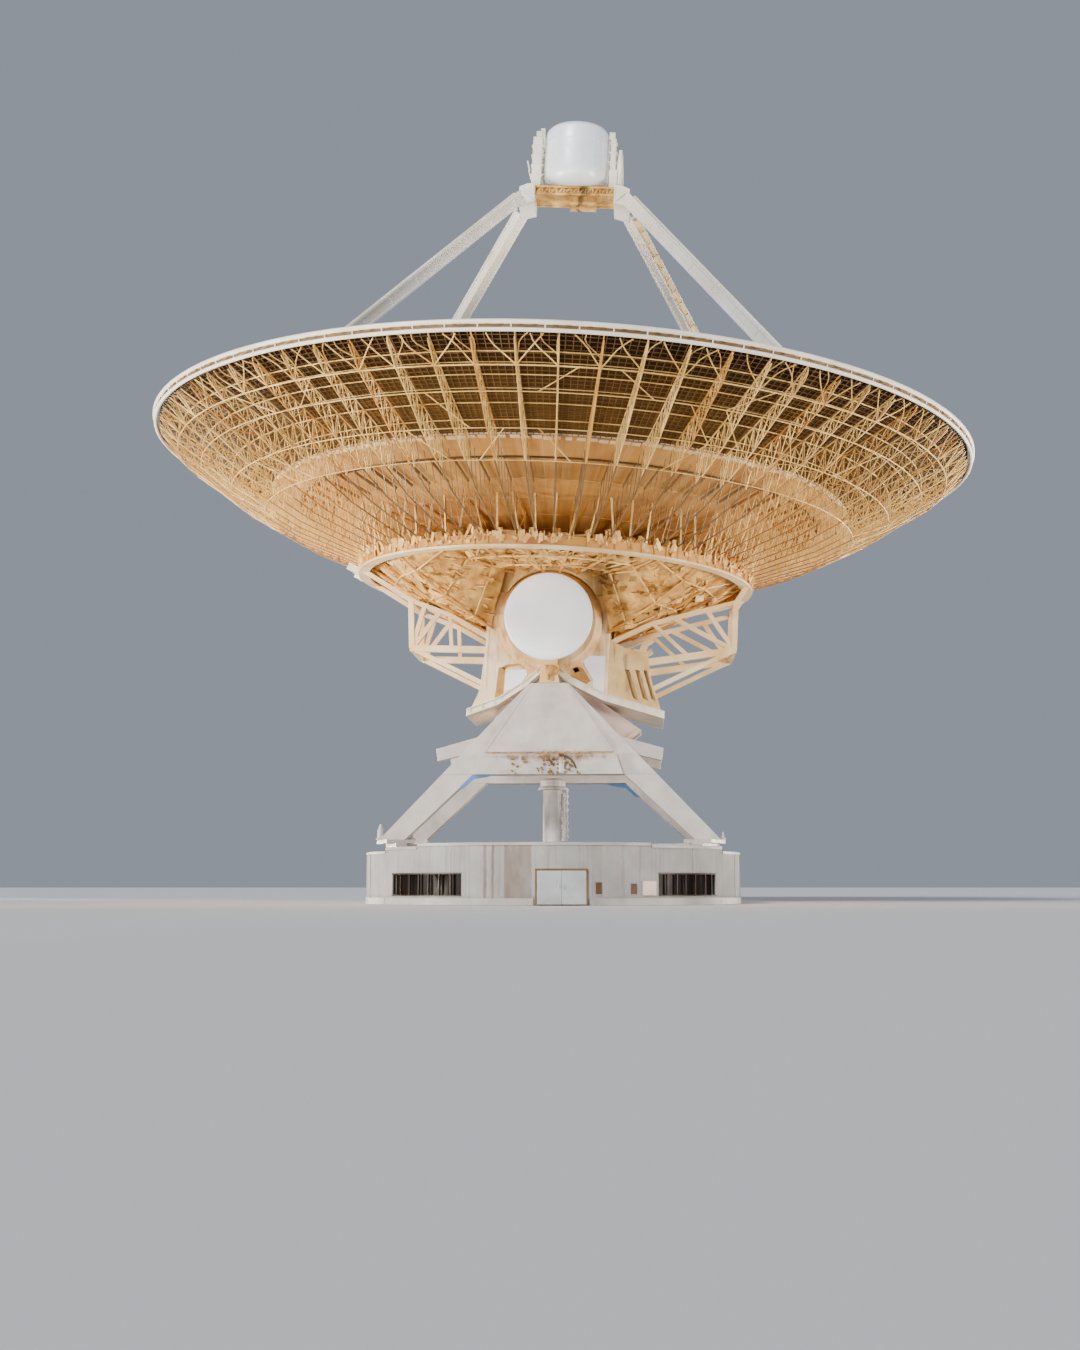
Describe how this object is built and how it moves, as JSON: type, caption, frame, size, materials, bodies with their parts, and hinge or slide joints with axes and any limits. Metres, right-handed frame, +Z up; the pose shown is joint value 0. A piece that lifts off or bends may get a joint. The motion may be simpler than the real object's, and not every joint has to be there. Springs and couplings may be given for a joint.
{
  "type": "radio telescope dish (scale model 1:2)",
  "caption": "Steerable parabolic radio telescope: plated and mesh bowl on a rib back frame, focus cabin on legs, twin A-frame alidade on a round track, ring building under it.",
  "frame": {"origin": "centre of the ring building's base, on the ground", "axes": "+Z up along the azimuth axis, elevation axis parallel to Y at rest, double door on the -Y side"},
  "size_m": [22.8407, 22.86, 22.5096],
  "materials": {
    "white_paint": "weathered white paint",
    "cream_paint": "cream paint, rust stained",
    "buff_paint": "buff paint, rust stained",
    "brown_paint": "brown paint, worn",
    "steel": "galvanised and oiled steel",
    "wire_mesh": "open wire mesh",
    "glass": "dark window glass",
    "wall_render": "painted render, rust streaks",
    "concrete": "plain concrete"
  },
  "bodies": {
    "ring_building": {"wall_left_bay": "wall_render", "wall_beside_door_left": "wall_render", "wall_over_door": "wall_render", "wall_beside_door_right": "wall_render", "wall_right_bay": "wall_render", "wall_rear_1": "wall_render", "wall_rear_2": "wall_render", "wall_rear_3": "wall_render", "wall_rear_4": "wall_render", "glazing_left": "glass", "glazing_right": "glass", "door_frame": "brown_paint", "floor_slab": "concrete", "roof_slab": "concrete", "track_rail": "steel", "central_column": "white_paint", "cable_wrap": "brown_paint"},
    "door_left": {"door_leaf_left": "white_paint"},
    "door_right": {"door_leaf_right": "white_paint"},
    "alidade": {"pintle_frame": "steel", "tower_front": "white_paint", "bearing_post_front": "buff_paint", "bearing_cover_front": "white_paint", "leg_front_left": "white_paint", "bogie_front_left": "steel", "leg_front_right": "white_paint", "bogie_front_right": "steel", "tower_rear": "white_paint", "bearing_post_rear": "buff_paint", "bearing_cover_rear": "white_paint", "leg_rear_left": "white_paint", "bogie_rear_left": "steel", "leg_rear_right": "white_paint", "bogie_rear_right": "steel"},
    "dish": {"central_box": "white_paint", "chevron_plate": "white_paint", "machinery_bay": "buff_paint", "gear_sector": "cream_paint", "hub_drum": "buff_paint", "ring_girder": "cream_paint", "side_frame_left": "cream_paint", "side_frame_right": "cream_paint", "back_frame_1": "buff_paint", "back_frame_2": "buff_paint", "back_frame_3": "buff_paint", "back_frame_4": "buff_paint", "reflector_front": "cream_paint", "reflector_rear": "cream_paint", "mesh_ring_front": "wire_mesh", "mesh_ring_rear": "wire_mesh", "rim_front": "white_paint", "rim_rear": "white_paint", "feed_leg_1": "white_paint", "feed_leg_2": "white_paint", "feed_leg_3": "white_paint", "feed_leg_4": "white_paint", "cabin_frame": "cream_paint", "cabin_drum": "white_paint"}
  },
  "joints": [
    {"name": "azimuth_turn", "type": "hinge", "parent": "ring_building", "child": "alidade", "pos_m": [0, 0, 0], "axis": [0, 0, 1], "range_deg": [-225, 225]},
    {"name": "elevation_tilt", "type": "hinge", "parent": "alidade", "child": "dish", "pos_m": [0, 0, 7.67], "axis": [0, 1, 0], "range_deg": [-3, 52]},
    {"name": "door_left_swing", "type": "hinge", "parent": "ring_building", "child": "door_left", "pos_m": [-0.12125, -5.19393, 0.4], "axis": [0, 0, 1], "range_deg": [-100, 0]},
    {"name": "door_right_swing", "type": "hinge", "parent": "ring_building", "child": "door_right", "pos_m": [1.08348, -5.08111, 0.4], "axis": [0, 0, 1], "range_deg": [0, 100]}
  ]
}
